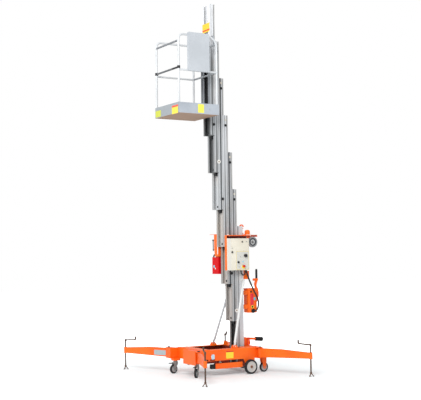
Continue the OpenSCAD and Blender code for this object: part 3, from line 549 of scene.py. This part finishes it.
UNIT_Z = TOP - 1.240
dress(surface("moulded_cover", ORANGE, ORANGE_DEEP, 0.36, scuff=srgb(160, 80, 40), grain=90,
              coat=0.08, zones=[
    (in_face(0.5995, 0.6525, UNIT_Z + 0.0915, UNIT_Z + 0.2765, 0.0753), srgb(226, 52, 64), 0.4, 0.0),
    (lambda f: (f.far_from(at(0, 0.632, UNIT_Z + 0.086), "X") < 0.0235) * (f.x > 0.0773), YELLOW, 0.4, 0.0),
    (lambda f: (f.far_from(at(0, 0.632, UNIT_Z + 0.086), "X") < 0.0152) * (f.x > 0.073), DARK, 0.5, 0.0),
    (lambda f: (f.far_from(at(0, 0.645, UNIT_Z + 0.028), "X") < 0.0325) * (f.x > 0.0753), BLACK, 0.5, 0.0),
    (lambda f: (f.far_from(at(0, 0.612, UNIT_Z + 0.302), "X") < 0.0135) * (f.x > 0.0753), BLACK, 0.5, 0.0),
    (lambda f: f.z > TOP - 0.7515, BLACK, 0.6, 0.0)]), "power_unit")

dress(surface("amber_lens", srgb(255, 140, 40), srgb(252, 120, 30), 0.25, grain=60, coat=0.3), "beacon")
dress(surface("hose_rubber", srgb(44, 46, 50), srgb(34, 36, 40), 0.5, grain=160), "hoses")

# %% [markdown]
# ## Platform
# The cage is aluminium tube with a matt pale coat. The deck is plywood, seen brown from below. The toe
# boards are grey sheet. The front bar has long black sleeves that ride on the posts.

# %% Platform finishes
FLOOR_Z = MAST_FOOT + 6 * STEP + 0.246
CAGE_FRONT = -0.051 - 0.638

dress(surface("cage_tube", srgb(222, 224, 226), srgb(204, 206, 208), 0.40, metal=0.1,
              scuff=srgb(170, 170, 170), grain=110, zones=[
    (lambda f: (abs(f.x) < 0.309) * (f.y < -0.60 + SHIFT), srgb(128, 130, 134), 0.42, 0.3),
    (lambda f: (abs(f.x) < 0.309) * (f.y > -0.10 + SHIFT), srgb(152, 156, 160), 0.42, 0.3)]), "cage")
dress(surface("gate_tube", srgb(112, 114, 116), srgb(92, 94, 96), 0.42, metal=0.3, grain=110, zones=[
    (lambda f: (abs(f.x) > 0.30).top(f.x > 0.16), BLACK, 0.55, 0.0)]), "gate_bar")
dress(surface("panel_coat", srgb(196, 200, 205), srgb(186, 190, 195), 0.45, scuff=srgb(160, 164, 168),
              grain=90), "cage_panel")
dress(surface("toe_board", srgb(190, 196, 204), srgb(170, 176, 184), 0.42, metal=0.15,
              scuff=srgb(140, 142, 146), grain=110, zones=[
    # Painted shade: the front face of the toe boards is a darker grey than its sides, for how the light falls
    # on it.
    (lambda f: f.y < CAGE_FRONT + SHIFT + 0.003, srgb(150, 156, 160), 0.45, 0.2),
    (lambda f: (f.z < FLOOR_Z + 0.0149) * (abs(f.x) < 0.3402) * f.y.between(CAGE_FRONT + SHIFT + 0.0026,
                                                                         -0.0537 + SHIFT), WOOD, 0.7, 0.0),
    (lambda f: f.z < FLOOR_Z + 0.0012, WOOD, 0.7, 0.0)]), "platform_floor")

# %% [markdown]
# ## The floor's own finish
# The floor has to go over into the white of the backdrop, and still hold the shadow. Its own colour
# is a pale grey that takes the shadow. For rays from the camera alone it also glows a little, and
# more with distance, so that the lit floor comes out white and only the shadow stays grey. The light
# that it gives to the machine isn't changed by this.

# %% Floor finish
f = Finish("studio_floor")
f.set("Base Color", f.mix(f.noise(0.8, 2) * 0.4, (0.86, 0.90, 0.90), (0.84, 0.88, 0.88)))
f.set("Roughness", 0.9)
f.shader.inputs["Specular IOR Level"].default_value = 0.05
reach = (f.x * f.x + f.y * f.y).root()
seen = Value(f, f.tree.nodes.new("ShaderNodeLightPath").outputs["Is Camera Ray"])
glow = f.node("ShaderNodeEmission", {}, {"Strength": reach.ramp(1.0, 4.0, 0.10, 1.2)})
clear = f.tree.nodes.new("ShaderNodeAddShader")
pick = f.tree.nodes.new("ShaderNodeMixShader")
surface_out = next(n for n in f.tree.nodes if n.type == "OUTPUT_MATERIAL")
f.tree.links.new(f.shader.outputs[0], clear.inputs[0])
f.tree.links.new(glow.socket, clear.inputs[1])
f.tree.links.new(seen.socket, pick.inputs[0])
f.tree.links.new(f.shader.outputs[0], pick.inputs[1])
f.tree.links.new(clear.outputs[0], pick.inputs[2])
f.tree.links.new(pick.outputs[0], surface_out.inputs[0])
floor.data.materials.append(f.material)

# %% [markdown]
# ## Blank plates
# Warning and data plates sit all over such a machine. Here they are blank. Each is a thin sheet with
# round corners: a plane, its corners bevelled, then extruded to its thickness. It is modelled flat at
# the origin and then its points are moved to the face that carries it.


# %% Plate builder
def finished(name, finish, body):
    """Names the active object, gives it its finish, puts its place into its mesh and lets it ride."""
    thing = bpy.context.object
    thing.name = name
    thing.data.name = name
    bpy.ops.object.mode_set(mode="OBJECT")
    bpy.ops.object.transform_apply(location=True, rotation=True, scale=True)
    thing.data.materials.clear()
    thing.data.materials.append(finish.material)
    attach(thing, body)
    deselect()
    return thing


def plate(name, centre, out, up, size, finish, body, thick=0.0012, corner=0.006):
    """A thin plate of size (width, height) whose back lies at centre and faces out."""
    deselect()
    bpy.ops.mesh.primitive_plane_add(size=1)
    thing = bpy.context.object
    thing.scale = (size[0], size[1], 1)
    bpy.ops.object.transform_apply(scale=True)
    bpy.ops.object.mode_set(mode="EDIT")
    bpy.ops.mesh.select_all(action="SELECT")
    bpy.ops.mesh.bevel(offset=min(corner, min(size) * 0.45), segments=4, affect="VERTICES")
    bpy.ops.mesh.select_all(action="SELECT")
    bpy.ops.mesh.extrude_region_move(TRANSFORM_OT_translate={"value": (0, 0, thick)})
    bpy.ops.mesh.select_all(action="SELECT")
    bpy.ops.mesh.normals_make_consistent(inside=False)
    bpy.ops.object.mode_set(mode="OBJECT")
    out, up = Vector(out).normalized(), Vector(up).normalized()
    side = up.cross(out)
    up = out.cross(side)
    thing.data.transform(Matrix.Translation(centre) @ Matrix((side, up, out)).transposed().to_4x4())
    return finished(name, finish, body)


def sticker(name, colour, band=None, band_axis="z", band_at=0.0):
    """Printed film: one colour, with a second colour beyond a line, or between two."""
    zones = []
    if band:
        def far(f):
            value = getattr(f, band_axis)
            return value.between(*band_at) if hasattr(band_at, "__len__") else value > band_at
        zones.append((far, band, 0.4, 0.0))
    return surface(name, colour, tuple(c * 0.93 for c in colour), 0.4, grain=120, bump=0.0002, coat=0.1,
                   zones=zones)


# %% Plates on the machine
SIDE, FRONT, UP = (1, 0, 0), (0, -1, 0), (0, 0, 1)
plate("plate_base_yellow", at(0.3401, 0.078, 0.2805), SIDE, UP, (0.120, 0.100),
      sticker("film_base", YELLOW, RED, "z", 0.316), "base")
plate("plate_base_blue", at(0.3401, -0.190, 0.2655), SIDE, UP, (0.048, 0.068),
      sticker("film_blue", srgb(196, 226, 240)), "base", corner=0.012)
plate("plate_toe_side", at(0.3431, -0.3375, 3.667), SIDE, UP, (0.093, 0.118),
      sticker("film_toe_side", srgb(252, 240, 96)), "section_7")
plate("plate_toe_front", at(0.241, CAGE_FRONT - 0.0001, 3.646), FRONT, UP, (0.170, 0.116),
      sticker("film_toe_front", YELLOW, srgb(240, 80, 40), "z", 3.678), "section_7")
plate("plate_toe_green", at(-0.253, CAGE_FRONT - 0.0001, 3.646), FRONT, UP, (0.160, 0.090),
      sticker("film_toe_green", srgb(204, 208, 60)), "section_7")
plate("plate_mast_top", at(0, -0.0421, 4.886), FRONT, UP, (0.196, 0.126),
      sticker("film_mast_top", srgb(250, 206, 40), srgb(226, 50, 34), "z", (4.842, 4.862)), "section_7")
plate("plate_charger_round", at(-0.240, 0.1899, BOX_Z + 0.052), FRONT, UP, (0.040, 0.040),
      sticker("film_charger_round", SKY), "base", corner=0.0199)
plate("plate_charger_small", at(-0.205, 0.1899, BOX_Z + 0.024), FRONT, UP, (0.022, 0.022),
      sticker("film_charger_small", srgb(236, 236, 234)), "base", corner=0.004)
plate("plate_unit_oval", at(0.0751, 0.672, UNIT_Z + 0.200), SIDE, UP, (0.034, 0.046),
      sticker("film_unit", SKY), "base", corner=0.015)
spread = math.radians(-SPREAD["front"])
along = Vector((-math.cos(spread), -math.sin(spread), 0))
outward = Vector((math.sin(spread), -math.cos(spread), 0))
plate("plate_arm_grey", on_arm("front", -1, 0, 0.277) + along * 0.142 + outward * 0.0221, outward, UP,
      (0.210, 0.070), sticker("film_arm", srgb(176, 188, 192)), "outrigger_front_l")

# %% [markdown]
# ## Side rollers and buffers
# Where one section slides past the next, black nylon buttons keep the sides apart, with a bolt in the middle.
# Each is a cylinder whose outer face is inset and pushed in for the bolt head, and its rim is bevelled. Each
# is built anew, with its own mesh.


# %% Button builder
def button(name, centre, radius, thick, side, finish, body):
    """A round bolted button on a face that looks along +X (side 1) or -X (side -1)."""
    deselect()
    bpy.ops.mesh.primitive_cylinder_add(vertices=40, radius=radius, depth=thick)
    bpy.ops.object.mode_set(mode="EDIT")
    bpy.ops.mesh.select_mode(type="FACE")
    bpy.ops.mesh.select_all(action="DESELECT")
    thing = bpy.context.object
    edit = bmesh.from_edit_mesh(thing.data)
    for face in edit.faces:
        face.select = face.normal.z > 0.9
    bmesh.update_edit_mesh(thing.data)
    bpy.ops.mesh.inset(thickness=radius * 0.12, depth=thick * 0.12)
    bpy.ops.mesh.inset(thickness=radius * 0.42, depth=0)
    bpy.ops.mesh.inset(thickness=radius * 0.02, depth=-thick * 0.25)
    bpy.ops.mesh.inset(thickness=radius * 0.10, depth=0)
    bpy.ops.mesh.inset(thickness=radius * 0.01, depth=thick * 0.35)
    bpy.ops.object.mode_set(mode="OBJECT")
    thing.data.transform(Matrix.Translation(centre + Vector((side * thick / 2, 0, 0)))
                         @ Matrix.Rotation(side * math.pi / 2, 4, "Y"))
    return finished(name, finish, body)


# %% Buttons on the mast
nylon = surface("nylon_button", BLACK, srgb(28, 28, 30), 0.5, grain=120, scuff=srgb(80, 80, 82))
for i in (3, 5, 7):
    y, foot = front_of(i)
    button(f"side_button_near_{i}", Vector((MAST_W / 2, y + 0.052, foot + 0.150)), 0.019, 0.006, 1, nylon,
           f"section_{i}")
for i in range(2, 8):
    y, foot = front_of(i)
    button(f"side_button_far_{i}", Vector((-MAST_W / 2, y + 0.052, foot + 0.135)), 0.022, 0.006, -1, nylon,
           f"section_{i}")

# %% [markdown]
# ## Blocks and stops at the section tops
# At the top of sections two to six sit a pale nylon block and a black stop below it.

# %% Section ends
pale = surface("nylon_pale", srgb(232, 226, 214), srgb(214, 206, 192), 0.5, grain=120,
               scuff=srgb(180, 150, 120))
for i in range(2, 7):
    y, foot = front_of(i)
    top = foot + MAST_LEN
    button(f"top_block_{i}", Vector((MAST_W / 2, y + 0.046, top - 0.070)), 0.014, 0.005, 1, pale,
           f"section_{i}")
    button(f"top_stop_{i}", Vector((MAST_W / 2, y + 0.046, top - 0.145)), 0.018, 0.005, 1, nylon,
           f"section_{i}")

# %% [markdown]
# ## Crank sleeves
# The bent cranks of the jacks are thicker than bare rod: a pressed tube covers the arm, and a turned
# grip spins on its end. Both are cylinders with bevelled ends and a few pressed rings.

# %% Crank sleeves
RING_HALF = 0.0016    # half the width of a pressed ring


def sleeve(name, start, end, radius, finish, body, rings=()):
    """A tube along a line, with bevelled ends and shallow rings at shares of its length."""
    deselect()
    start, end = Vector(start), Vector(end)
    length = (end - start).length
    bpy.ops.mesh.primitive_cylinder_add(vertices=32, radius=radius, depth=length)
    bpy.ops.object.mode_set(mode="EDIT")
    bpy.ops.mesh.select_all(action="SELECT")
    bpy.ops.mesh.bevel(offset=radius * 0.28, segments=3)
    for share in rings:
        for edge in (-RING_HALF, RING_HALF):
            bpy.ops.mesh.select_all(action="SELECT")
            bpy.ops.mesh.bisect(plane_co=(0, 0, (share - 0.5) * length + edge), plane_no=(0, 0, 1))
    bpy.ops.object.mode_set(mode="OBJECT")
    thing = bpy.context.object
    for vertex in thing.data.vertices:
        if any(abs(vertex.co.z - (share - 0.5) * length) < RING_HALF + 0.0001 for share in rings):
            vertex.co.x *= 0.93
            vertex.co.y *= 0.93
    turn = (end - start).normalized().to_track_quat("Z", "Y").to_matrix().to_4x4()
    thing.data.transform(Matrix.Translation((start + end) / 2) @ turn)
    return finished(name, finish, body)


rust = surface("crank_rust", srgb(104, 80, 64), srgb(76, 58, 46), 0.6, scuff=srgb(140, 112, 92), grain=60,
               bump=0.001)
CRANK, CRANK_Z = 0.190, 0.426
for end in PIVOT:
    for side, sign in (("l", -1), ("r", 1)):
        body = f"screw_jack_{end}_{side}"
        sleeve(f"crank_tube_{end}_{side}", on_arm(end, sign, ARM - 0.018, CRANK_Z + 0.001),
               on_arm(end, sign, ARM - CRANK + 0.006, CRANK_Z + 0.0096), 0.0105, rust, body, (0.06, 0.94))
        sleeve(f"crank_grip_{end}_{side}", on_arm(end, sign, ARM - CRANK, CRANK_Z + 0.016),
               on_arm(end, sign, ARM - CRANK, CRANK_Z + 0.057), 0.0125, rust, body, (0.2, 0.8))

# %% [markdown]
# ## Foam grip on the tow handle
# The grip is a thick foam sleeve. It is a cylinder along the handle with bevelled ends, and rings of
# faces pushed inward every few centimetres.


# %% Foam grip
deselect()
bpy.ops.mesh.primitive_cylinder_add(vertices=48, radius=0.031, depth=0.122)
bpy.ops.object.mode_set(mode="EDIT")
bpy.ops.mesh.select_all(action="SELECT")
bpy.ops.mesh.bevel(offset=0.009, segments=4)
GRIP_RINGS = [k * 0.014 for k in range(-3, 4)]    # places of the rings along the grip
for height in GRIP_RINGS:
    for edge in (-RING_HALF, RING_HALF):
        bpy.ops.mesh.select_all(action="SELECT")
        bpy.ops.mesh.bisect(plane_co=(0, 0, height + edge), plane_no=(0, 0, 1))
bpy.ops.object.mode_set(mode="OBJECT")
thing = bpy.context.object
for vertex in thing.data.vertices:
    if any(abs(vertex.co.z - height) < RING_HALF + 0.0001 for height in GRIP_RINGS):
        vertex.co.x *= 0.955
        vertex.co.y *= 0.955
handle = Vector((0, 0.118, -0.011)).normalized()
thing.data.transform(Matrix.Translation(at(0, 0.7835, 0.4353))
                     @ handle.to_track_quat("Z", "Y").to_matrix().to_4x4())
foam = surface("foam_grip", srgb(40, 38, 38), srgb(28, 27, 27), 0.85, grain=190, scuff=srgb(70, 66, 62),
               bump=0.001)
finished("tow_grip", foam, "base")

# %% [markdown]
# ## Buffer block on the lower rail
# A black rubber block sits on the front end of each lower rail. It is a cube stretched to its size,
# its edges bevelled round, with a groove all round where its strap lies.


# %% Rubber blocks
rubber = surface("block_rubber", srgb(40, 40, 42), srgb(28, 28, 30), 0.7, grain=130, scuff=srgb(80, 76, 72))
for side, sign in (("l", -1), ("r", 1)):
    deselect()
    bpy.ops.mesh.primitive_cube_add(size=1)
    thing = bpy.context.object
    thing.scale = (0.048, 0.071, 0.066)
    bpy.ops.object.transform_apply(scale=True)
    bpy.ops.object.mode_set(mode="EDIT")
    bpy.ops.mesh.select_all(action="SELECT")
    bpy.ops.mesh.bevel(offset=0.014, segments=5)
    bpy.ops.mesh.bisect(plane_co=(0, 0.006, 0), plane_no=(0, 1, 0))
    bpy.ops.mesh.select_all(action="SELECT")
    bpy.ops.mesh.bisect(plane_co=(0, -0.006, 0), plane_no=(0, 1, 0))
    bpy.ops.object.mode_set(mode="OBJECT")
    edit = bmesh.new()
    edit.from_mesh(thing.data)
    for vertex in edit.verts:
        if abs(vertex.co.y) < 0.0065:
            vertex.co.x *= 0.94
            vertex.co.z *= 0.94
    edit.to_mesh(thing.data)
    edit.free()
    thing.data.transform(Matrix.Translation(at(sign * 0.315, -0.1855, 0.1325)))
    finished(f"rail_block_{side}", rubber, "base")
